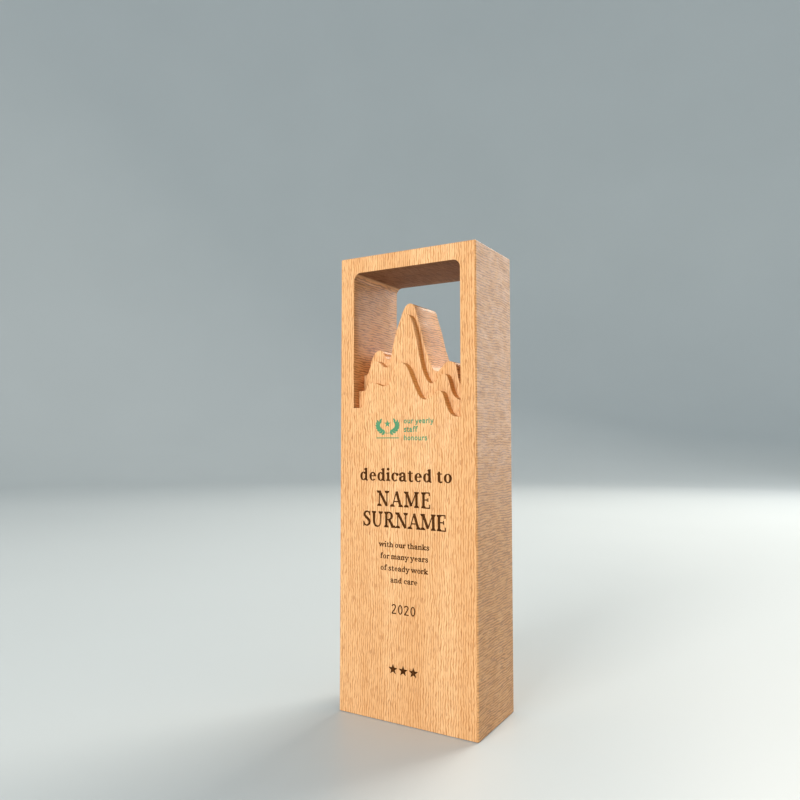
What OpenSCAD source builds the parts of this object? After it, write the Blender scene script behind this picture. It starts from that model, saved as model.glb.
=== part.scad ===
// Desk award cut from beech: a tall block with a window at the top, and a mountain range in
// three steps of relief that stands in the window. The block is a glued stack of four boards,
// front to back, held in line by dowels, with a felt pad let into its base.
// Frame: +Z up, -Y is the front, origin at the bottom centre of the block.

/* [Block] */
// Width of the block
block_w = 80; // [70:1:100]
// Depth of the block, front to back
block_d = 45; // [44:1:60]
// Height of the block
block_h = 240; // [236:1:280]
// Chamfer on the outer edges
arris = 0.6; // [0.3:0.1:1]

/* [Boards] */
// Thickness of the front board and of the middle board, one step of the relief each
relief_t = 5; // [4:0.5:5.5]
// Thickness of the ridge board
ridge_t = 25; // [20:1:26]

/* [Window] */
// Width of the stile on each side of the window
stile_w = 8.6; // [7:0.1:12]
// Height of the rail above the window
rail_h = 8.6; // [7:0.1:12]
// Radius of the window's upper corners
window_r = 4; // [2:0.5:8]
// Height of the sill of the opening in the back board
sill_z = 168; // [160:1:176]

/* [Dowels] */
// Diameter of the dowels
dowel_dia = 4; // [3:0.5:4.5]
// Wood left behind the end of each dowel
dowel_cover = 3; // [2:0.5:4]
// Glue clearance around a dowel
dowel_gap = 0.05; // [0.02:0.01:0.1]

/* [Base pad] */
// Thickness of the felt pad
pad_t = 1.6; // [1:0.2:3]
// How far the pad stands below the wood
pad_proud = 0.3; // [0.1:0.1:1]
// Wood left around the pad
pad_margin = 8; // [7:1:15]
// Corner radius of the pad
pad_r = 5; // [2:1:6]

/* [Hidden] */

$fn = 64;
eps = 0.01;
curve_steps = 5;                  // straight facets between two points of a skyline
drawn_edge_x = 31.4;              // half the width that the skylines are drawn for
edge_x = block_w / 2 - stile_w;   // the window's side walls
window_top = block_h - rail_h;
front_y = -block_d / 2;
middle_y = front_y + relief_t;
ridge_y = middle_y + relief_t;
back_y = ridge_y + ridge_t;
back_t = block_d - 2 * relief_t - ridge_t;
dowel_end = block_d / 2 - dowel_cover;
dowel_high = [block_w / 2 - stile_w / 2, block_h - rail_h / 2];
dowel_low = [26, 30];

// Skylines from left to right, as [x, z]. Each board's range stands about 9 mm above the one
// before it, so that three ranges show, one behind the other.
front_range = [
    [-27.5, 159.1], [-25.6, 159.7], [-24.8, 162], [-24.2, 166.2], [-23.2, 169.7],
    [-21.4, 171.6], [-19, 172], [-16.4, 171.2], [-13.4, 170.1], [-10.6, 170.4],
    [-8.6, 172.2], [-6.6, 175.6], [-4.8, 179.2], [-3.3, 181.4], [-1.8, 181.8],
    [-0.1, 180.8], [1.7, 178.6], [3.3, 175], [4.8, 171.5], [6.2, 168.4], [7.6, 165.5],
    [9.3, 163.3], [11.6, 162.4], [14, 163], [16.2, 164.8], [18.4, 166.4], [20.3, 166.4],
    [21.8, 164.8], [22.9, 161.5], [24.1, 158.2], [25.6, 155.5], [27.6, 153.9], [30, 153.5]
];
middle_range = [
    [-29.5, 168.3], [-27.9, 168.4], [-26.8, 169], [-26.2, 171.3], [-25.5, 174.8],
    [-24.6, 178.8], [-23.3, 182], [-21.5, 183.8], [-19.3, 183.6], [-17.2, 181.9],
    [-15.2, 180.5], [-13, 180.7], [-11.4, 183.5], [-10.4, 187.5], [-9.3, 192],
    [-8, 196.7], [-6.4, 201.4], [-4.7, 205.2], [-2.7, 207.4], [-0.6, 207.1], [1, 204.7],
    [2.3, 200.9], [3.4, 196.9], [4.4, 192.3], [5.3, 187.5], [6.3, 182.6], [7.4, 178.4],
    [9, 174.6], [11, 171.6], [13.2, 170.8], [15.2, 172], [17, 174], [19, 175.3],
    [20.9, 175], [22.3, 172.7], [23.3, 169.2], [24.4, 165.9], [25.9, 163.6], [28.3, 162]
];
ridge_range = [
    [-30.3, 177.1], [-29, 178], [-27.9, 180.5], [-26.9, 183.8], [-25.6, 186.9],
    [-24, 189.3], [-22, 190.2], [-20.2, 190], [-18.9, 188.9], [-18.1, 186.9],
    [-17, 185.6], [-15.5, 185.2], [-14.4, 186.3], [-13.6, 189.3], [-12.7, 193.7],
    [-11.5, 198.2], [-10, 202.5], [-8.4, 206.4], [-7, 210], [-5, 213.1], [-2.6, 214.1],
    [-0.3, 213], [0.9, 209.8], [2, 206], [3.5, 201.5], [4.7, 196.8], [5.8, 192.2],
    [7.3, 187.8], [8.9, 183.3], [10.3, 179.9], [11.9, 177.9], [13.6, 177.3],
    [15.1, 178.2], [16.6, 179.8], [18.2, 181.3], [20.2, 182.1], [22.4, 181.7],
    [24, 180.4], [24.8, 177.4], [25.5, 173], [26.9, 169.8], [29.2, 168.6]
];

level_sill = [[-20, sill_z], [20, sill_z]];

beech_front = "#e8b27c";
beech_inner = "#d9a574";
dowel_wood = "#c99a68";
felt_green = "#4c5a4a";

// A point of the smooth curve through p, between points i and i + 1, at t from 0 to 1.
function curve_point(p, i, t) =
    let (
        a = p[max(i - 1, 0)], b = p[i],
        c = p[i + 1], d = p[min(i + 2, len(p) - 1)]
    )
    b + t / 2 * ((c - a) + t * ((2 * a - 5 * b + 4 * c - d) + t * (3 * b - 3 * c + d - a)));

function smooth(p) = [
    for (i = [0 : len(p) - 2]) for (k = [0 : curve_steps - 1]) curve_point(p, i, k / curve_steps),
    p[len(p) - 1]
];

// A skyline fitted to the width of the window.
function fitted(range) = [for (p = smooth(range)) [p[0] * edge_x / drawn_edge_x, p[1]]];

// Lays an [x, z] outline on the plane y and gives it the thickness t towards the back.
module board(y, t) translate([0, y + t, 0]) rotate([90, 0, 0]) linear_extrude(height = t) children();

module face() translate([-block_w / 2, pad_proud]) square([block_w, block_h - pad_proud]);

// The window above a skyline: its lower edge is the skyline, level out to both stiles.
module window_over(range) {
    line = fitted(range);
    polygon(concat(
        [[-edge_x, line[0][1]]], line, [[edge_x, line[len(line) - 1][1]]],
        corner(edge_x, 0), corner(-edge_x, 90)
    ));
}

// A round upper corner of the window, whose side wall is at x, drawn from the given angle on.
function corner(x, from) = [
    for (a = [0 : 7.5 : 90])
        [x - sign(x) * window_r, window_top - window_r] + window_r * [cos(from + a), sin(from + a)]
];

// A long wedge that takes the arris off one edge. Its axis is X, and it lies on the origin.
module arris_cut(length) rotate([45, 0, 0]) cube([length, arris * sqrt(2), arris * sqrt(2)], center = true);

// The arrises around the front or back face of the block, and on the two edges at its top.
module face_arrises(y) {
    for (side = [-1, 1])
        translate([side * block_w / 2, y, block_h / 2]) rotate([0, 90, 0]) arris_cut(block_h + 2);
    translate([0, y, block_h]) arris_cut(block_w + 2);
}

module top_arrises() for (side = [-1, 1])
    translate([side * block_w / 2, 0, block_h]) rotate([0, 0, 90]) arris_cut(block_d + 2);

module pad_outline() {
    w = block_w / 2 - pad_margin - pad_r;
    d = block_d / 2 - pad_margin - pad_r;
    polygon([for (q = [0 : 3]) for (a = [0 : 7.5 : 90])
        [w * (q == 0 || q == 3 ? 1 : -1), d * (q < 2 ? 1 : -1)] + pad_r * [cos(90 * q + a), sin(90 * q + a)]]);
}

module pad_recess() translate([0, 0, -eps]) linear_extrude(height = pad_t + eps) pad_outline();

// Rods of radius r in the four dowel places, from the plane y = from back to y = to.
module dowel_rods(from, to, r) for (side = [-1, 1], place = [dowel_high, dowel_low])
    translate([side * place[0], from, place[1]]) rotate([-90, 0, 0]) cylinder(h = to - from, r = r);

module dowel_holes() dowel_rods(middle_y - eps, dowel_end + eps, dowel_dia / 2 + dowel_gap);

module front_board() color(beech_front) difference() {
    board(front_y, relief_t) difference() { face(); window_over(front_range); }
    face_arrises(front_y);
    top_arrises();
}

module middle_board() color(beech_front) difference() {
    board(middle_y, relief_t) difference() { face(); window_over(middle_range); }
    top_arrises();
    pad_recess();
    dowel_holes();
}

module ridge_board() color(beech_inner) difference() {
    board(ridge_y, ridge_t) difference() { face(); window_over(ridge_range); }
    top_arrises();
    pad_recess();
    dowel_holes();
}

module back_board() color(beech_inner) difference() {
    board(back_y, back_t) difference() { face(); window_over(level_sill); }
    face_arrises(back_y + back_t);
    top_arrises();
    pad_recess();
    dowel_holes();
}

module dowels() color(dowel_wood) dowel_rods(middle_y, dowel_end, dowel_dia / 2);

module base_pad() color(felt_green) linear_extrude(height = pad_t) pad_outline();

front_board();
middle_board();
ridge_board();
back_board();
dowels();
base_pad();
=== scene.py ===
"""Looks of a beech desk award: continuous grain, printed lettering, a felt pad and a plain studio."""

import math

import bmesh
import bpy
from mathutils import Matrix, Vector


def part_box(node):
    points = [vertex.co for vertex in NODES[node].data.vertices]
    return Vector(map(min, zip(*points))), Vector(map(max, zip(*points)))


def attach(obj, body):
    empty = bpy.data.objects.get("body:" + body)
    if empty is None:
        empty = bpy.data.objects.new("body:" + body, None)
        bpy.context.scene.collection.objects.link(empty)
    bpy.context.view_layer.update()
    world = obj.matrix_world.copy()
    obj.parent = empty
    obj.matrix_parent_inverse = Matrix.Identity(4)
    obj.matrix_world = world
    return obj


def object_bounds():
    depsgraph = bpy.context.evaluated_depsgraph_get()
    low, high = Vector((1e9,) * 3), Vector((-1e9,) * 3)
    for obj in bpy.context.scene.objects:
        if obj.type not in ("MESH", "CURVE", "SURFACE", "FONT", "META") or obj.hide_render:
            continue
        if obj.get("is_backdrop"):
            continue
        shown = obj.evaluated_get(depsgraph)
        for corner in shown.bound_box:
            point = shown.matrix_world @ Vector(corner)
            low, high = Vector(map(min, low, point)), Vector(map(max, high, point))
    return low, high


MM = 0.001

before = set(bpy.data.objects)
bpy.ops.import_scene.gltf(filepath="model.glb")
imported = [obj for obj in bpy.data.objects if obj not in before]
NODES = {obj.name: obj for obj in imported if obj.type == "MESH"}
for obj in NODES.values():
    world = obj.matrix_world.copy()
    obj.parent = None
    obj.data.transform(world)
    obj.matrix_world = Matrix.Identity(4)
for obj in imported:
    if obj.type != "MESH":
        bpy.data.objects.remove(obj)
cad_low, cad_high = (Vector(c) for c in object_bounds())

FRONT_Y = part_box("front_board")[0].y
MIDDLE_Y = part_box("middle_board")[0].y
RIDGE_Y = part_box("ridge_board")[0].y
BACK_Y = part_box("back_board")[0].y
REAR_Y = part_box("back_board")[1].y

SKYLINE_INSET = 9 * MM  # the skylines end just inside the stiles
CEILING_DEPTH = 20 * MM  # and lie further than this below the top
RELIEF_INSET = 8.8 * MM  # from the block's side to just inside the stile
RELIEF_FOOT = 150 * MM  # below the lowest point of the skylines
EDGE_MARGIN = 4 * MM  # wider than the block's own chamfers
WINDOW_FOOT = 100 * MM  # well below the window
TOUCH = 0.01 * MM  # far less than any step between planes


# ---------------------------------------------------------------- camera

CAMERA_AT = Vector((180.1, -333.1, 142.3)) * MM
CAMERA_TURN = math.radians(30.49)  # from +Y towards -X
CAMERA_TILT = math.radians(3.21)  # above level
CAMERA_LENS = 31.71
CAMERA_SENSOR = 36


def add_camera():
    data = bpy.data.cameras.new("camera")
    data.sensor_width = CAMERA_SENSOR
    data.lens = CAMERA_LENS
    data.clip_start = 0.01
    camera = bpy.data.objects.new("camera", data)
    camera.rotation_euler = (math.pi / 2 + CAMERA_TILT, 0, CAMERA_TURN)
    camera.location = CAMERA_AT
    bpy.context.scene.collection.objects.link(camera)
    bpy.context.scene.camera = camera


# ---------------------------------------------------------------- shader nodes

SHIFT_SPREAD = (1, 1.7, 2.3)  # a pattern's shift on X, Y and Z


class Shader:
    """A material's node tree, with short calls for the nodes that the materials share."""

    def __init__(self, name):
        self.material = bpy.data.materials.new(name)
        self.material.use_nodes = True
        self.tree = self.material.node_tree
        self.surface = self.tree.nodes["Principled BSDF"]
        self.coords = self.tree.nodes.new("ShaderNodeTexCoord")

    def node(self, kind, **settings):
        node = self.tree.nodes.new("ShaderNode" + kind)
        for key, value in settings.items():
            setattr(node, key, value)
        return node

    def put(self, value, socket):
        """Links an output to a socket, or sets the socket's own number or colour."""
        if isinstance(value, bpy.types.NodeSocket):
            self.tree.links.new(value, socket)
        else:
            socket.default_value = value

    def math(self, operation, a, b=0.0, clamp=False):
        node = self.node("Math", operation=operation, use_clamp=clamp)
        self.put(a, node.inputs[0])
        self.put(b, node.inputs[1])
        return node.outputs[0]

    def ramp(self, value, low, high, to_low=0.0, to_high=1.0):
        """Maps value from low..high to to_low..to_high, smoothly and clamped."""
        node = self.node("MapRange", interpolation_type="SMOOTHSTEP")
        for socket, v in zip(node.inputs[:5], (value, low, high, to_low, to_high)):
            self.put(v, socket)
        return node.outputs[0]

    def split(self, vector):
        """The X, Y and Z of a vector."""
        parts = self.node("SeparateXYZ")
        self.put(vector, parts.inputs[0])
        return list(parts.outputs)

    def noise_node(self, cell_mm, detail=2.0, roughness=0.5, shift=0.0, coords=None):
        mapping = self.node("Mapping")
        self.put(coords or self.coords.outputs["Object"], mapping.inputs["Vector"])
        mapping.inputs["Scale"].default_value = [1 / (c * MM) for c in cell_mm]
        mapping.inputs["Location"].default_value = [shift * k for k in SHIFT_SPREAD]
        noise = self.node("TexNoise")
        self.put(mapping.outputs[0], noise.inputs["Vector"])
        noise.inputs["Scale"].default_value = 1
        noise.inputs["Detail"].default_value = detail
        noise.inputs["Roughness"].default_value = roughness
        return noise

    def noise(self, cell_mm, **settings):
        """Noise with cells about cell_mm long on X, Y and Z."""
        return self.noise_node(cell_mm, **settings).outputs["Fac"]

    def lines(self, cell_mm, width, shift, coords):
        """Thin wandering lines, 1 on the line and 0 off it, drawn out along the longest cell side."""
        level = self.noise(cell_mm, detail=1.5, shift=shift, coords=coords)
        return self.ramp(self.math("ABSOLUTE", self.math("SUBTRACT", level, 0.5)), 0.0, width, 1.0, 0.0)

    def stripes(self, axis, spacing_mm, width, coords):
        """Evenly spaced soft lines across axis 0, 1 or 2, 1 on the line and 0 off it."""
        turn = self.math("MULTIPLY", self.split(coords)[axis], 2 * math.pi / (spacing_mm * MM))
        return self.ramp(self.math("SINE", turn), 1 - 2 * width, 1.0)

    def swayed(self, *waves):
        """Object coordinates pushed about by noise, each wave given as its cell and its reach in mm."""
        coords = self.coords.outputs["Object"]
        for cell_mm, reach_mm in waves:
            push = self.node("VectorMath", operation="SCALE")
            self.put(self.noise_node(cell_mm, detail=1).outputs["Color"], push.inputs[0])
            push.inputs["Scale"].default_value = 2 * reach_mm * MM
            total = self.node("VectorMath", operation="ADD")
            self.put(coords, total.inputs[0])
            self.put(push.outputs[0], total.inputs[1])
            coords = total.outputs[0]
        return coords

    def mix(self, factor, a, b, blend="MIX"):
        node = self.node("Mix", data_type="RGBA", blend_type=blend)
        self.put(factor, node.inputs["Factor"])
        self.put(a, node.inputs["A"])
        self.put(b, node.inputs["B"])
        return node.outputs["Result"]

    def bump(self, height, strength, depth_mm):
        node = self.node("Bump")
        node.inputs["Strength"].default_value = strength
        node.inputs["Distance"].default_value = depth_mm * MM
        self.put(height, node.inputs["Height"])
        self.put(node.outputs[0], self.surface.inputs["Normal"])


# ---------------------------------------------------------------- beech

FACE_PALE, FACE_DEEP = (0.82, 0.487, 0.242, 1), (0.74, 0.412, 0.188, 1)
DOWEL_PALE, DOWEL_DEEP = (0.72, 0.46, 0.27, 1), (0.58, 0.34, 0.18, 1)
WAVY_LINE = (0.47, 0.19, 0.055, 1)
RAY_END = (0.3, 0.11, 0.035, 1)
FIBRE_SHADE = (0.25, 0.25, 0.25, 1)
RADIAL_PALE, RADIAL_DEEP = (0.7, 0.355, 0.138, 1), (0.61, 0.295, 0.106, 1)
FLECK_PALE, FLECK_DARK = (0.78, 0.45, 0.215, 1), (0.36, 0.16, 0.055, 1)
DASH = (0.28, 0.12, 0.045, 1)
BUTT_PALE, BUTT_DARK = (0.3, 0.14, 0.065, 1), (0.19, 0.082, 0.034, 1)
BUTT_RING = (0.15, 0.065, 0.028, 1)
# Painted light: the next factor makes the mountains' cut side walls paler.
PAINTED_WALL_LIGHT = (1.22, 1.24, 1.2, 1)  # multiplies the colour of a cut side wall
# Painted shade for the cut walls in the recesses before the ridge.
RECESS_SHADE_BROWN = (0.76, 0.345, 0.085, 1)
WOOD_SPECULAR = 0.18


class Beech(Shader):
    """Beech with its fibres along Z and its rays running front to back.

    The pattern is solid, so it runs on from board to board. On the front it shows as wavy upright
    lines with short dark ray ends, on the sides as level ray flecks, and on the ends as rings.
    """

    def __init__(self, name, pale, deep):
        super().__init__(name)
        self.find_faces()
        self.grain = self.swayed(((60, 60, 90), 2.5), ((5, 6, 12), 0.9), ((2.2, 4, 3.4), 0.55))
        self.level = self.swayed(((30, 26, 30), 1.5), ((9, 9, 4), 0.7), ((6, 3, 2.5), 0.3))
        self.bands = self.ramp(self.noise((13, 30, 300), detail=1, shift=3.1, coords=self.grain), 0.36, 0.64)
        self.breaks = self.noise((1.6, 6, 5), shift=6.1, coords=self.grain)
        self.fibres = self.noise((0.22, 0.5, 4), roughness=0.6, shift=4.3, coords=self.grain)
        self.drawn = self.wavy_lines()
        self.rows = self.stripes(2, 1.3, 0.7, self.level)

        colour = self.mix(self.on_side, self.flat_sawn(pale, deep), self.quarter_sawn())
        colour = self.mix(self.on_end, colour, self.butt())
        self.put(self.with_cut_walls(colour), self.surface.inputs["Base Color"])
        self.put(self.shine(), self.surface.inputs["Roughness"])
        self.surface.inputs["Specular IOR Level"].default_value = WOOD_SPECULAR
        self.bump(self.relief(), 0.5, 0.05)

    def find_faces(self):
        """Masks for the sides, the ends, the front and back, the cut walls of the mountains, and the cut
        walls before the ridge, where shade is painted.
        """
        side, _, end = (self.math("ABSOLUTE", out) for out in self.split(self.coords.outputs["Normal"]))
        self.on_side = self.ramp(side, 0.5, 0.8)
        self.on_end = self.ramp(end, 0.75, 0.95)
        across = self.math("SUBTRACT", 1.0, self.on_side)
        self.on_front = self.math("SUBTRACT", across, self.on_end, clamp=True)

        x, y, z = self.split(self.coords.outputs["Object"])
        inside = self.math("LESS_THAN", self.math("ABSOLUTE", x), cad_high.x - SKYLINE_INSET)
        under = self.math("LESS_THAN", z, cad_high.z - CEILING_DEPTH)
        self.cut = self.math("MULTIPLY", inside, self.math("SUBTRACT", under, self.on_front), clamp=True)
        # Painted shade goes on the cut walls of the front and middle boards, in the recesses before the
        # ridge.
        before_ridge = self.math("LESS_THAN", y, RIDGE_Y - TOUCH)
        self.recess_shade = self.math("MULTIPLY", self.cut, before_ridge)

    def wavy_lines(self):
        """The front's upright lines, which fade and come back, with finer hairs between them."""
        stripes = self.stripes(0, 1.35, 0.6, self.grain)
        hairs = self.lines((1.3, 6, 10), width=0.05, shift=1.3, coords=self.grain)
        drawn = self.math("MULTIPLY", stripes, self.ramp(self.breaks, 0.36, 0.58, 0.4, 1.0))
        drawn = self.math("ADD", drawn, self.math("MULTIPLY", hairs, 0.35), clamp=True)
        return self.math("MULTIPLY", drawn, self.on_front)

    def flat_sawn(self, pale, deep):
        colour = self.mix(self.bands, pale, deep)
        colour = self.mix(self.math("MULTIPLY", self.drawn, 0.8), colour, WAVY_LINE)
        ray_ends = self.noise((0.6, 9, 4.5), detail=1, shift=5.9, coords=self.grain)
        shown_ends = self.math("MULTIPLY", self.ramp(ray_ends, 0.59, 0.67), self.on_front)
        colour = self.mix(self.math("MULTIPLY", shown_ends, 0.42), colour, RAY_END)
        return self.mix(self.ramp(self.fibres, 0.35, 0.75, 0, 0.14), colour, FIBRE_SHADE, "MULTIPLY")

    def quarter_sawn(self):
        """Level wavy rows of flecks, dark and pale by turns, with short dark dashes."""
        flecks = self.noise((14, 8, 1.1), shift=9.2, coords=self.level)
        dashes = self.noise((9, 4, 0.75), detail=1, shift=0.7, coords=self.level)
        colour = self.mix(self.bands, RADIAL_PALE, RADIAL_DEEP)
        colour = self.mix(self.ramp(flecks, 0.5, 0.36, 0, 0.4), colour, FLECK_PALE)
        shown_rows = self.math("MULTIPLY", self.rows, self.ramp(flecks, 0.4, 0.58, 0.35, 0.95))
        colour = self.mix(shown_rows, colour, FLECK_DARK)
        return self.mix(self.ramp(dashes, 0.58, 0.66, 0, 0.55), colour, DASH)

    def butt(self):
        """Browner end grain, with rings across and the rays running front to back."""
        rings = self.lines((40, 3.4, 400), width=0.08, shift=2.2, coords=self.grain)
        rays = self.noise((0.6, 9, 30), shift=3.6, coords=self.grain)
        colour = self.mix(self.ramp(rays, 0.4, 0.62), BUTT_PALE, BUTT_DARK)
        return self.mix(self.math("MULTIPLY", rings, 0.4), colour, BUTT_RING)

    def with_cut_walls(self, colour):
        """Painted light that makes the side walls on the mountains paler, and painted shade, a warmer brown,
        on the cut walls of the two boards before the ridge.
        """
        # Painted light: the mountains' cut side walls are made paler.
        colour = self.mix(self.math("MULTIPLY", self.cut, self.on_side), colour, PAINTED_WALL_LIGHT, "MULTIPLY")
        # Painted shade: the cut walls in the recesses before the ridge are mixed towards a warm brown.
        return self.mix(self.math("MULTIPLY", self.recess_shade, 0.6), colour, RECESS_SHADE_BROWN)

    def shine(self):
        """Roughness: the sides are shinier than the front, and end grain and the cut walls with painted
        shade before the ridge are duller.
        """
        rough = self.ramp(self.breaks, 0.35, 0.65, 0.46, 0.54)
        rough = self.math("ADD", rough, self.math("MULTIPLY", self.drawn, 0.12))
        rough = self.math("SUBTRACT", rough, self.math("MULTIPLY", self.on_side, 0.12))
        dull = self.math("MAXIMUM", self.recess_shade, self.on_end)
        return self.math("ADD", rough, self.math("MULTIPLY", dull, 0.25))

    def relief(self):
        """Height of the surface: raised fibres, and lines and rows that are sunk a little."""
        side_rows = self.math("MULTIPLY", self.rows, self.on_side)
        height = self.math("MULTIPLY", self.fibres, 0.5)
        height = self.math("SUBTRACT", height, self.math("MULTIPLY", self.drawn, 0.8))
        return self.math("SUBTRACT", height, self.math("MULTIPLY", side_rows, 0.5))


# ---------------------------------------------------------------- other materials

INK_BROWN, BROWN_WORN = (0.045, 0.015, 0.003, 1), (0.12, 0.046, 0.012, 1)
INK_GREEN, GREEN_WORN = (0.06, 0.24, 0.13, 1), (0.16, 0.32, 0.16, 1)
INK_SPECULAR = 0.04
WOOL_DARK, WOOL_PALE = (0.035, 0.05, 0.035, 1), (0.12, 0.15, 0.11, 1)
WOOL_CLUMP = (0.16, 0.18, 0.14, 1)
WOOL_SHEEN = 0.3
STUDIO_DEEP, STUDIO_PALE = (0.53, 0.575, 0.59, 1), (0.57, 0.615, 0.63, 1)
STUDIO_ROUGHNESS = 0.42


def ink(name, colour, worn):
    """A thin screen-printed film that lets a little of the grain under it show through."""
    s = Shader(name)
    grain = s.noise((0.6, 9, 4), shift=5.9)
    patches = s.noise((3, 3, 3), detail=3, shift=4.4)
    tint = s.mix(s.ramp(grain, 0.4, 0.7, 0, 0.5), colour, worn)
    tint = s.mix(s.ramp(patches, 0.45, 0.75, 0, 0.3), tint, worn)
    s.put(tint, s.surface.inputs["Base Color"])
    s.put(s.ramp(patches, 0.3, 0.7, 0.6, 0.75), s.surface.inputs["Roughness"])
    s.surface.inputs["Specular IOR Level"].default_value = INK_SPECULAR
    s.bump(grain, 0.3, 0.02)
    return s.material


def felt(name):
    s = Shader(name)
    wool = s.noise((0.3, 0.3, 0.3), detail=5, roughness=0.7)
    clumps = s.noise((2.5, 2.5, 2.5), shift=1.9)
    tint = s.mix(wool, WOOL_DARK, WOOL_PALE)
    tint = s.mix(s.ramp(clumps, 0.4, 0.7, 0, 0.3), tint, WOOL_CLUMP)
    s.put(tint, s.surface.inputs["Base Color"])
    s.put(s.ramp(wool, 0.3, 0.7, 0.88, 1.0), s.surface.inputs["Roughness"])
    s.surface.inputs["Sheen Weight"].default_value = WOOL_SHEEN
    s.bump(wool, 0.8, 0.25)
    return s.material


def studio_white(name):
    s = Shader(name)
    cloud = s.noise((400, 400, 400))
    s.put(s.mix(cloud, STUDIO_DEEP, STUDIO_PALE), s.surface.inputs["Base Color"])
    s.surface.inputs["Roughness"].default_value = STUDIO_ROUGHNESS
    return s.material


# ---------------------------------------------------------------- boards

ON_PLANE = 0.05 * MM
WELD = 0.001 * MM
FLAT = math.radians(0.5)
CREASE = math.radians(28)  # sharper edges stay sharp, and the rest are shaded smoothly


def in_window(point):
    """Is the point on the relief or the window, clear of the block's outer edges?"""
    across = cad_low.x + EDGE_MARGIN < point.x < cad_high.x - EDGE_MARGIN
    return across and WINDOW_FOOT < point.z < cad_high.z - EDGE_MARGIN


def on_relief(point):
    """Is the point on a skyline, below the window's round corners and clear of the stiles?"""
    across = abs(point.x) < cad_high.x - RELIEF_INSET
    return across and RELIEF_FOOT < point.z < cad_high.z - CEILING_DEPTH


def ease_edges(node, planes, width_mm, only=in_window):
    """Rounds a board's sawn edges on the given planes a little, as sanding does."""
    board = NODES[node]
    mesh = board.data
    # The normals that come with the mesh would take the place of smooth shading.
    custom = mesh.attributes.get("custom_normal")
    if custom:
        mesh.attributes.remove(custom)
    mesh.polygons.foreach_set("use_smooth", [True] * len(mesh.polygons))

    group = board.vertex_groups.new(name="eased")
    chosen = [v for v in mesh.vertices if only(v.co)]
    eased = [v.index for v in chosen if any(abs(v.co.y - y) < ON_PLANE for y in planes)]
    group.add(eased, 1.0, "ADD")

    weld = board.modifiers.new("weld", "WELD")
    weld.merge_threshold = WELD
    flat = board.modifiers.new("flat", "DECIMATE")
    flat.decimate_type = "DISSOLVE"
    flat.angle_limit = FLAT
    bevel = board.modifiers.new("bevel", "BEVEL")
    bevel.limit_method = "VGROUP"
    bevel.vertex_group = "eased"
    bevel.width = width_mm * MM
    bevel.segments = 3
    split = board.modifiers.new("split", "EDGE_SPLIT")
    split.split_angle = CREASE


def dress(node, material):
    NODES[node].data.materials.clear()
    NODES[node].data.materials.append(material)


def dress_boards():
    wood = Beech("beech_face", FACE_PALE, FACE_DEEP).material
    for node in ("front_board", "middle_board", "ridge_board", "back_board"):
        dress(node, wood)
    ease_edges("front_board", [FRONT_Y], 0.18)
    ease_edges("middle_board", [MIDDLE_Y], 0.25, on_relief)
    ease_edges("ridge_board", [RIDGE_Y, BACK_Y], 0.25, on_relief)
    ease_edges("back_board", [REAR_Y], 0.25)
    dress("dowels", Beech("dowel_beech", DOWEL_PALE, DOWEL_DEEP).material)
    dress("base_pad", felt("felt"))


# ---------------------------------------------------------------- lettering

# Each letter is its width and its strokes. Small letters are in units of the x-height, and
# capitals and figures in units of their own height. Weights run from 0, light, to 1, heavy.
#   stem  x, low, high              heavy upright
#   post  x, low, high              light upright
#   bar   left, right, y            light level stroke
#   diag  x0, y0, x1, y1, weight    straight slanted stroke
#   bowl  x, y, rx, ry, from, to    part of an oval, heavy at its sides, angles in degrees
#   path  (x, y, weight), ...       smooth curve
#   foot  x, y, side                serif that ends a stem at y, and lies above y (1) or below it (-1)
#   flag  x, y                      one-sided serif at the top of a stem
#   dot   x, y                      round dot or ball
ARCH = [
    (0.26, 0.62, 0), (0.38, 0.82, 0.25), (0.56, 0.9, 0.7), (0.74, 0.82, 1),
    (0.8, 0.6, 1), (0.8, 0.3, 1), (0.8, 0, 1),
]
SECOND_ARCH = [(x + 0.58, y, k) for x, y, k in ARCH]
SPINE = [
    (0.7, 0.72, 0), (0.62, 0.88, 0.1), (0.44, 0.94, 0.25), (0.25, 0.86, 0.6),
    (0.23, 0.69, 0.9), (0.43, 0.53, 1), (0.65, 0.37, 1), (0.66, 0.18, 0.7),
    (0.45, 0.06, 0.25), (0.24, 0.11, 0.1), (0.15, 0.28, 0),
]
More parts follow.
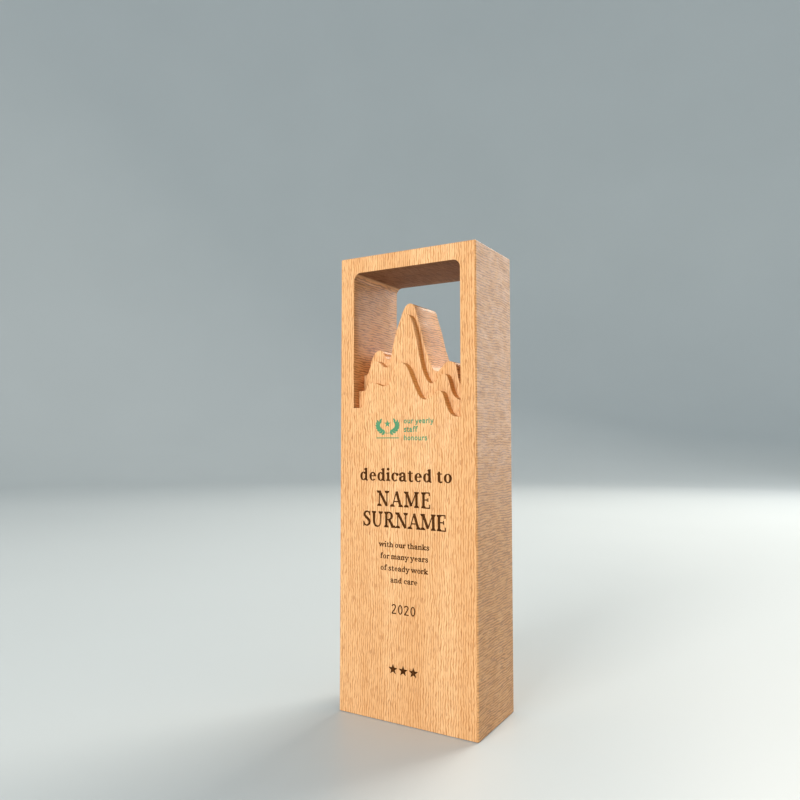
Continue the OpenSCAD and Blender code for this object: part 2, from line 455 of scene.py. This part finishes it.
SMALL = {
    "a": (0.98, [
        ("path", (0.2, 0.76, 0.6), (0.28, 0.88, 0.4), (0.46, 0.94, 0.3), (0.63, 0.86, 0.8), (0.69, 0.66, 1),
         (0.69, 0.3, 1), (0.72, 0.12, 0.8), (0.82, 0.06, 0.3), (0.94, 0.1, 0)),
        ("path", (0.68, 0.58, 0), (0.44, 0.54, 0.1), (0.24, 0.42, 0.8), (0.2, 0.26, 1), (0.28, 0.11, 0.8),
         (0.45, 0.08, 0.3), (0.6, 0.16, 0.1), (0.69, 0.26, 0)),
        ("dot", 0.22, 0.76),
    ]),
    "c": (0.9, [("bowl", 0.5, 0.48, 0.42, 0.5, 42, 318), ("dot", 0.78, 0.76)]),
    "d": (1.08, [("stem", 0.78, 0.04, 1.42), ("flag", 0.78, 1.42), ("bowl", 0.46, 0.48, 0.4, 0.5, 35, 325),
                 ("path", (0.78, 0.16, 0.6), (0.84, 0.06, 0.4), (1.0, 0.04, 0))]),
    "e": (0.96, [("bowl", 0.5, 0.48, 0.42, 0.5, 2, 318), ("bar", 0.16, 0.88, 0.53)]),
    "f": (0.72, [("path", (0.32, 0, 1), (0.32, 0.5, 1), (0.32, 0.95, 1), (0.36, 1.22, 0.9), (0.5, 1.38, 0.5),
                  (0.66, 1.38, 0.4), (0.74, 1.3, 0.6)), ("bar", 0.08, 0.66, 0.94), ("foot", 0.32, 0, 1),
                 ("dot", 0.72, 1.28)]),
    "h": (1.06, [("stem", 0.24, 0, 1.42), ("flag", 0.24, 1.42), ("foot", 0.24, 0, 1), ("path", *ARCH),
                 ("foot", 0.8, 0, 1)]),
    "i": (0.52, [("stem", 0.26, 0, 0.98), ("flag", 0.26, 0.98), ("foot", 0.26, 0, 1),
                 ("dot", 0.25, 1.32)]),
    "k": (1.04, [("stem", 0.24, 0, 1.42), ("flag", 0.24, 1.42), ("foot", 0.24, 0, 1),
                 ("diag", 0.3, 0.4, 0.8, 0.95, 0), ("diag", 0.42, 0.56, 0.84, 0.04, 1),
                 ("foot", 0.8, 0.98, -1), ("foot", 0.86, 0, 1)]),
    "l": (0.52, [("stem", 0.26, 0, 1.42), ("flag", 0.26, 1.42), ("foot", 0.26, 0, 1)]),
    "m": (1.64, [("stem", 0.24, 0, 0.98), ("flag", 0.24, 0.98), ("foot", 0.24, 0, 1), ("path", *ARCH),
                 ("foot", 0.8, 0, 1), ("path", *SECOND_ARCH), ("foot", 1.38, 0, 1)]),
    "n": (1.06, [("stem", 0.24, 0, 0.98), ("flag", 0.24, 0.98), ("foot", 0.24, 0, 1), ("path", *ARCH),
                 ("foot", 0.8, 0, 1)]),
    "o": (1.0, [("bowl", 0.5, 0.49, 0.44, 0.51, 0, 180), ("bowl", 0.5, 0.49, 0.44, 0.51, 180, 360)]),
    "r": (0.78, [("stem", 0.24, 0, 0.98), ("flag", 0.24, 0.98), ("foot", 0.24, 0, 1),
                 ("path", (0.26, 0.6, 0), (0.38, 0.8, 0.25), (0.54, 0.9, 0.5), (0.66, 0.84, 0.6)),
                 ("dot", 0.66, 0.82)]),
    "s": (0.84, [("path", *SPINE), ("post", 0.7, 0.66, 0.98), ("post", 0.15, 0.02, 0.34)]),
    "t": (0.74, [("path", (0.32, 1.2, 0.4), (0.32, 0.9, 1), (0.32, 0.5, 1), (0.33, 0.22, 1),
                  (0.42, 0.07, 0.6), (0.56, 0.06, 0.3), (0.68, 0.14, 0)), ("bar", 0.06, 0.66, 0.94)]),
    "u": (1.08, [("path", (0.24, 0.98, 1), (0.24, 0.6, 1), (0.25, 0.32, 1), (0.34, 0.12, 0.7),
                  (0.5, 0.08, 0.3), (0.66, 0.16, 0.1), (0.8, 0.34, 0)), ("stem", 0.8, 0.04, 0.98),
                 ("flag", 0.24, 0.98), ("flag", 0.8, 0.98),
                 ("path", (0.8, 0.16, 0.6), (0.86, 0.06, 0.4), (1.02, 0.04, 0))]),
    "w": (1.52, [("diag", 0.16, 0.96, 0.46, 0.02, 1), ("diag", 0.46, 0.04, 0.74, 0.96, 0),
                 ("diag", 0.76, 0.96, 1.06, 0.02, 1), ("diag", 1.06, 0.04, 1.34, 0.96, 0),
                 ("foot", 0.16, 0.98, -1), ("foot", 0.76, 0.98, -1), ("foot", 1.34, 0.98, -1)]),
    "y": (1.04, [("diag", 0.16, 0.96, 0.54, 0.02, 1),
                 ("path", (0.88, 0.96, 0), (0.7, 0.46, 0), (0.52, -0.04, 0.1), (0.42, -0.26, 0.3),
                  (0.28, -0.36, 0.5), (0.18, -0.33, 0.6)),
                 ("foot", 0.16, 0.98, -1), ("foot", 0.86, 0.98, -1), ("dot", 0.19, -0.31)]),
}
CAPITAL = {
    "A": (0.86, [("diag", 0.12, 0.03, 0.42, 0.98, 0), ("diag", 0.42, 0.98, 0.72, 0.03, 1),
                 ("bar", 0.2, 0.62, 0.34), ("foot", 0.12, 0, 1), ("foot", 0.73, 0, 1)]),
    "E": (0.74, [("stem", 0.2, 0, 1), ("foot", 0.2, 0, 1), ("foot", 0.2, 1, -1), ("bar", 0.2, 0.62, 0.97),
                 ("bar", 0.2, 0.52, 0.53), ("bar", 0.2, 0.65, 0.03), ("post", 0.61, 0.78, 1),
                 ("post", 0.51, 0.41, 0.65), ("post", 0.64, 0, 0.25)]),
    "M": (1.08, [("post", 0.16, 0.02, 0.98), ("stem", 0.9, 0.02, 0.98), ("diag", 0.18, 0.97, 0.52, 0.1, 1),
                 ("diag", 0.52, 0.1, 0.86, 0.97, 0), ("foot", 0.16, 0, 1), ("foot", 0.9, 0, 1),
                 ("foot", 0.16, 1, -1), ("foot", 0.9, 1, -1)]),
    "N": (0.92, [("post", 0.17, 0.02, 0.98), ("post", 0.75, 0.02, 0.98), ("diag", 0.17, 0.96, 0.73, 0.04, 1),
                 ("foot", 0.17, 0, 1), ("foot", 0.14, 1, -1), ("foot", 0.75, 1, -1)]),
    "R": (0.86, [("stem", 0.2, 0, 1), ("foot", 0.2, 0, 1), ("foot", 0.2, 1, -1),
                 ("path", (0.2, 0.97, 0), (0.38, 0.97, 0), (0.54, 0.91, 0.6), (0.6, 0.75, 1),
                  (0.54, 0.59, 0.6), (0.38, 0.51, 0), (0.2, 0.51, 0)),
                 ("diag", 0.4, 0.52, 0.7, 0.04, 1), ("foot", 0.73, 0, 1)]),
    "S": (0.68, [("path", *[(x * 0.82, y * 1.02, k) for x, y, k in SPINE]), ("post", 0.575, 0.7, 1.0),
                 ("post", 0.12, 0, 0.32)]),
    "U": (0.92, [("path", (0.2, 0.98, 1), (0.2, 0.6, 1), (0.21, 0.3, 1), (0.3, 0.1, 0.6), (0.46, 0.04, 0.2),
                  (0.63, 0.11, 0), (0.71, 0.32, 0), (0.71, 0.6, 0), (0.71, 0.98, 0)), ("foot", 0.2, 1, -1),
                 ("foot", 0.71, 1, -1)]),
}
FIGURE = {
    "0": (0.66, [("bowl", 0.33, 0.5, 0.26, 0.5, 0, 180), ("bowl", 0.33, 0.5, 0.26, 0.5, 180, 360)]),
    "2": (0.64, [("path", (0.1, 0.78, 1), (0.17, 0.91, 1), (0.31, 0.95, 1), (0.46, 0.88, 1), (0.48, 0.7, 1),
                  (0.36, 0.46, 1), (0.1, 0.07, 1)), ("bar", 0.06, 0.56, 0.055)]),
}
LETTERS = {**SMALL, **CAPITAL, **FIGURE}


BOWL_STEPS = 24
DOT_STEPS = 24
CURVE_STEPS = 4  # straight pieces between two points of a path

# Proportions of the serifs and dots, in heights where not said otherwise.
FOOT_THICKNESS = 0.9  # of the light stroke
BRACKET = 2.2  # where the foot meets its stem, of the foot's thickness
FLAG_DROP = 0.1
FLAG_ROOT = 0.3
BALL = 0.58  # radius of a dot or ball, of the heavy stroke
PLAIN_BALL = 0.5  # the same for the low balls of a style without serifs


class Pen:
    """Turns a letter's strokes into closed outlines, with the stroke widths of one style of type."""

    def __init__(self, heavy, light, serif, widen=1.0):
        self.heavy, self.light, self.serif, self.widen = heavy, light, serif, widen
        self.made = {}

    def width(self, weight):
        return self.light + weight * (self.heavy - self.light)

    def line(self, x0, y0, x1, y1, width):
        along = Vector((x1 - x0, y1 - y0)).normalized() * width / 2
        dx, dy = -along.y, along.x
        return [[(x0 + dx, y0 + dy), (x0 - dx, y0 - dy), (x1 - dx, y1 - dy), (x1 + dx, y1 + dy)]]

    def stem(self, x, low, high):
        return self.line(x, low, x, high, self.heavy)

    def post(self, x, low, high):
        return self.line(x, low, x, high, self.light) if self.serif else []

    def bar(self, left, right, y):
        return self.line(left, y, right, y, self.light)

    def diag(self, x0, y0, x1, y1, weight):
        return self.line(x0, y0, x1, y1, self.width(weight))

    def bowl(self, x, y, rx, ry, start, end):
        steps = range(BOWL_STEPS + 1)
        turns = [math.radians(start + (end - start) * k / BOWL_STEPS) for k in steps]
        outer = [(x + rx * math.cos(a), y + ry * math.sin(a)) for a in turns]
        rx, ry = rx - self.heavy, ry - self.light
        inner = [(x + rx * math.cos(a), y + ry * math.sin(a)) for a in turns]
        return [outer + inner[::-1]]

    def path(self, *points):
        """A smooth curve through the points, with the width of each point's weight."""
        points = [Vector(p) for p in points]
        last = len(points) - 1
        spine = []
        for i in range(last):
            near = [points[min(max(k, 0), last)] for k in range(i - 1, i + 3)]
            spine += [curve_point(*near, k / CURVE_STEPS) for k in range(CURVE_STEPS)]
        spine.append(points[-1])
        left, right = [], []
        for i, p in enumerate(spine):
            ahead = (spine[min(i + 1, len(spine) - 1)] - spine[max(i - 1, 0)]).xy.normalized()
            half = self.width(min(max(p.z, 0), 1)) / 2
            left.append((p.x - ahead.y * half, p.y + ahead.x * half))
            right.append((p.x + ahead.y * half, p.y - ahead.x * half))
        return [left + right[::-1]]

    def foot(self, x, y, side):
        if not self.serif:
            return []
        stem = self.heavy / 2
        reach = stem + self.serif
        edge = y + side * self.light * FOOT_THICKNESS
        root = y + side * self.light * FOOT_THICKNESS * BRACKET
        level = [(x - reach, y), (x + reach, y)]
        return [level + [(x + reach, edge), (x + stem, root), (x - stem, root), (x - reach, edge)]]

    def flag(self, x, y):
        if not self.serif:
            return []
        right, left = x + self.heavy / 2, x - self.heavy / 2 - self.serif
        tip = y - FLAG_DROP
        return [[(right, y), (left, tip), (left, tip - self.light), (right, y - FLAG_ROOT)]]

    def dot(self, x, y):
        r = self.heavy * (BALL if y > 1 or self.serif else PLAIN_BALL)
        turns = [2 * math.pi * k / DOT_STEPS for k in range(DOT_STEPS)]
        return [[(x + r * math.cos(a), y + r * math.sin(a)) for a in turns]]

    def letter(self, char):
        """The letter's width and its mesh, with all strokes joined into one closed solid per island."""
        if char not in self.made:
            width, strokes = LETTERS[char]
            outlines = [o for kind, *rest in strokes for o in getattr(self, kind)(*rest)]
            widened = [[(x * self.widen, y) for x, y in o] for o in outlines]
            self.made[char] = (width * self.widen, joined(widened))
        return self.made[char]


def curve_point(a, b, c, d, t):
    """A point of the smooth curve through a, b, c and d, at t from 0 at b to 1 at c."""
    cubic = (2 * a - 5 * b + 4 * c - d) + t * (3 * b - 3 * c + d - a)
    return b + t / 2 * ((c - a) + t * cubic)


def prisms(outlines):
    """One mesh of closed prisms of unit height that stand on the given outlines."""
    bm = bmesh.new()
    for outline in outlines:
        area = sum(a[0] * b[1] - b[0] * a[1] for a, b in zip(outline, outline[1:] + outline[:1]))
        ring = outline if area > 0 else outline[::-1]
        base = bm.faces.new([bm.verts.new((x, y, 0)) for x, y in ring])
        made = bmesh.ops.extrude_face_region(bm, geom=[base])["geom"]
        top = [v for v in made if isinstance(v, bmesh.types.BMVert)]
        bmesh.ops.translate(bm, vec=(0, 0, 1), verts=top)
    bmesh.ops.recalc_face_normals(bm, faces=bm.faces)
    mesh = bpy.data.meshes.new("prisms")
    bm.to_mesh(mesh)
    bm.free()
    return mesh


def joined(outlines):
    """The prisms on all outlines, united into one mesh with no walls inside it."""
    parts = [part for part in (outlines[::2], outlines[1::2]) if part]
    halves = [bpy.data.objects.new("half", prisms(part)) for part in parts]
    for half in halves:
        bpy.context.scene.collection.objects.link(half)
    if len(halves) == 2:
        union = halves[0].modifiers.new("union", "BOOLEAN")
        union.operation = "UNION"
        union.solver = "EXACT"
        union.use_self = True
        union.object = halves[1]
    bpy.context.view_layer.update()
    depsgraph = bpy.context.evaluated_depsgraph_get()
    solid = bpy.data.meshes.new_from_object(halves[0].evaluated_get(depsgraph))
    for half in halves:
        bpy.data.objects.remove(half)
    return solid


INK_MM = 0.04  # thickness of the printed film
GAP = 0.03  # between letters, in x-heights
SPACE = 0.42  # between words


class Print:
    """A printed piece on the front face, put together from thin solids at places in millimetres."""

    def __init__(self, name):
        self.name = name
        self.bm = bmesh.new()

    def add(self, mesh, x, z, size):
        """Lays a unit-high mesh on the face, its origin at x, z and its unit size mm long."""
        before = len(self.bm.verts)
        self.bm.from_mesh(mesh)
        self.bm.verts.ensure_lookup_table()
        place = Matrix((
            (size * MM, 0, 0, x * MM),
            (0, 0, -INK_MM * MM, FRONT_Y),
            (0, size * MM, 0, z * MM),
            (0, 0, 0, 1),
        ))
        bmesh.ops.transform(self.bm, matrix=place, verts=self.bm.verts[before:])

    def line(self, pen, text, x, z, size, gap=GAP, centred=True):
        """One line of type on the base line z, centred on x or starting there, all in millimetres."""
        if centred:
            letters = sum(SPACE if c == " " else pen.letter(c)[0] for c in text)
            x -= (letters + gap * (len(text) - 1)) * size / 2
        for char in text:
            if char == " ":
                x += (SPACE + gap) * size
                continue
            advance, mesh = pen.letter(char)
            self.add(mesh, x, z, size)
            x += (advance + gap) * size

    def lines(self, pen, lines, x, z, size, pitch, centred=True):
        """Lines of type one under the other, the first on the base line z."""
        for i, text in enumerate(lines):
            self.line(pen, text, x, z - i * pitch, size, centred=centred)

    def finish(self, material):
        bmesh.ops.recalc_face_normals(self.bm, faces=self.bm.faces)
        mesh = bpy.data.meshes.new(self.name)
        self.bm.to_mesh(mesh)
        self.bm.free()
        mesh.materials.append(material)
        piece = bpy.data.objects.new(self.name, mesh)
        bpy.context.scene.collection.objects.link(piece)
        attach(piece, "root")


LEAF_HALF = [(0.0, 0.0), (0.18, 0.17), (0.42, 0.25), (0.7, 0.18), (1.0, 0.0)]  # one edge, base to tip
LEAF_LENGTH = 0.4
LEAF_LEAN = 38  # degrees to each side of the branch
LAUREL_RX, LAUREL_RY = 0.98, 0.62  # the oval that the branches follow
LAUREL_STEP = 15.5  # degrees from one pair of leaves to the next
LAUREL_STEPS = 8
TIP_TURN = 35  # the end leaf leans this far inwards
BRANCH_WIDTH = 0.05


def leaf(x, y, turn):
    """A pointed laurel leaf that starts at x, y and points along turn, in degrees."""
    outline = LEAF_HALF + [(u, -v) for u, v in LEAF_HALF[-2:0:-1]]
    c, s = math.cos(math.radians(turn)) * LEAF_LENGTH, math.sin(math.radians(turn)) * LEAF_LENGTH
    return [(x + u * c - v * s, y + u * s + v * c) for u, v in outline]


def laurel():
    """Two laurel branches that bend up from a common foot, two units wide."""
    outlines = []
    for side in (-1, 1):
        branch = []
        for k in range(LAUREL_STEPS + 1):
            a = math.radians(LAUREL_STEP * k - 90)
            branch.append((LAUREL_RX * math.cos(a) * side, LAUREL_RY * (math.sin(a) + 1), 0))
        outlines += Pen(BRANCH_WIDTH, BRANCH_WIDTH, 0).path(*branch)
        for k in range(1, LAUREL_STEPS):
            x, y, _ = branch[k]
            for lean in (LEAF_LEAN, -LEAF_LEAN):
                turn = LAUREL_STEP * k + lean
                outlines.append(leaf(x, y, turn if side > 0 else 180 - turn))
        x, y, _ = branch[LAUREL_STEPS]
        outlines.append(leaf(x, y, 90 + side * TIP_TURN))
    return outlines


def star(points=5, inner=0.42):
    ring = []
    for k in range(2 * points):
        r = 1 if k % 2 == 0 else inner
        a = math.pi / 2 + k * math.pi / points
        ring.append((r * math.cos(a), r * math.sin(a)))
    return ring


RULE_LENGTH, RULE_WIDTH = 13.6, 0.476
RULE = [(0, 0), (1, 0), (1, RULE_WIDTH / RULE_LENGTH), (0, RULE_WIDTH / RULE_LENGTH)]


def print_emblem(green):
    """A laurel with a star, a rule under it and a motto beside it."""
    plain = Pen(heavy=0.26, light=0.24, serif=0)
    emblem = Print("print_emblem")
    emblem.add(joined(laurel()), x=-10.3, z=145.6, size=5.9)
    emblem.add(prisms([star()]), x=-10.3, z=150.4, size=2)
    emblem.finish(green)

    rule = Print("print_rule")
    rule.add(prisms([RULE]), x=-17, z=142.9, size=RULE_LENGTH)
    rule.finish(green)

    motto = Print("print_motto")
    words = ("our yearly", "staff", "honours")
    motto.lines(plain, words, x=-0.6, z=150.5, size=1.95, pitch=4.3, centred=False)
    motto.finish(green)


def print_text(brown):
    """The heading, the name, the citation, the year and three small stars, from the top down."""
    bold = Pen(heavy=0.28, light=0.12, serif=0.1, widen=1.1)
    roman = Pen(heavy=0.18, light=0.08, serif=0.075)
    text = Pen(heavy=0.28, light=0.16, serif=0.09, widen=1.08)
    figures = Pen(heavy=0.125, light=0.125, serif=0, widen=1.08)

    title = Print("print_title")
    title.line(bold, "dedicated to", x=-0.2, z=121, size=4.6)
    title.finish(brown)

    name = Print("print_name")
    name.line(roman, "NAME", x=-0.7, z=108, size=8, gap=0.12)
    name.line(roman, "SURNAME", x=-0.9, z=97.3, size=8, gap=0.02)
    name.finish(brown)

    citation = Print("print_citation")
    words = ("with our thanks", "for many years", "of steady work", "and care")
    citation.lines(text, words, x=-0.6, z=87.4, size=2.0, pitch=5.9)
    citation.finish(brown)

    year = Print("print_year")
    year.line(figures, "2020", x=-0.8, z=54.2, size=4.8, gap=0.06)
    year.finish(brown)

    stars = Print("print_stars")
    for x in (-6.9, -1, 4.9):
        stars.add(prisms([star()]), x=x, z=26.6, size=2.8)
    stars.finish(brown)


# ---------------------------------------------------------------- studio

FLOOR_RADIUS = 3.0
FLOOR_BEND = 1.0  # radius of the curve from the floor up into the wall
WALL_HEIGHT = 2.2
BEND_STEPS = 12
FLOOR_TURNS = 96
LIGHTS_AIM = Vector((0, 0, cad_high.z / 2))
SKY_COLOUR = (0.74, 0.8, 0.83, 1)
SKY_STRENGTH = 0.75


def floor_profile():
    """Radius and height of each ring of the floor, outwards and up."""
    inner = FLOOR_RADIUS - FLOOR_BEND
    rings = [(inner, 0.0)]
    for k in range(1, BEND_STEPS + 1):
        a = math.pi / 2 * k / BEND_STEPS
        rings.append((inner + FLOOR_BEND * math.sin(a), FLOOR_BEND * (1 - math.cos(a))))
    return rings + [(FLOOR_RADIUS, FLOOR_BEND + WALL_HEIGHT)]


def add_floor(material):
    """A round studio floor that curves up into a wall."""
    bm = bmesh.new()
    turns = [2 * math.pi * k / FLOOR_TURNS for k in range(FLOOR_TURNS)]
    rings = []
    for r, z in floor_profile():
        rings.append([bm.verts.new((r * math.cos(a), r * math.sin(a), z)) for a in turns])
    centre = bm.verts.new((0, 0, 0))
    for k in range(FLOOR_TURNS):
        nxt = (k + 1) % FLOOR_TURNS
        bm.faces.new((centre, rings[0][k], rings[0][nxt]))
        for inner, outer in zip(rings, rings[1:]):
            bm.faces.new((inner[k], outer[k], outer[nxt], inner[nxt]))
    for face in bm.faces:
        face.smooth = True
    mesh = bpy.data.meshes.new("floor")
    bm.to_mesh(mesh)
    bm.free()
    mesh.materials.append(material)
    floor = bpy.data.objects.new("floor", mesh)
    bpy.context.scene.collection.objects.link(floor)
    floor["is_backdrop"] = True


def add_light(name, at, size, power, colour):
    data = bpy.data.lights.new(name, "AREA")
    data.size, data.energy, data.color = size, power, colour
    light = bpy.data.objects.new(name, data)
    light.location = at
    light.visible_camera = False
    aim = LIGHTS_AIM - Vector(at)
    light.rotation_euler = aim.to_track_quat("-Z", "Y").to_euler()
    bpy.context.scene.collection.objects.link(light)


def add_studio():
    add_floor(studio_white("studio_white"))
    add_light("key", at=(-0.15, -1.75, 0.62), size=0.7, power=31.5, colour=(1.0, 0.96, 0.9))
    add_light("side", at=(0.9, 1.8, 0.5), size=1.0, power=12, colour=(0.97, 0.98, 1.0))
    add_light("back", at=(0.3, 1.35, 1.35), size=0.9, power=31, colour=(1.0, 0.9, 0.78))
    world = bpy.data.worlds.new("studio")
    world.use_nodes = True
    background = world.node_tree.nodes["Background"]
    background.inputs["Color"].default_value = SKY_COLOUR
    background.inputs["Strength"].default_value = SKY_STRENGTH
    bpy.context.scene.world = world
    bpy.context.scene.view_settings.view_transform = "Standard"


# ---------------------------------------------------------------- the whole scene


add_camera()
dress_boards()
print_emblem(ink("ink_green", INK_GREEN, GREEN_WORN))
print_text(ink("ink_brown", INK_BROWN, BROWN_WORN))
add_studio()
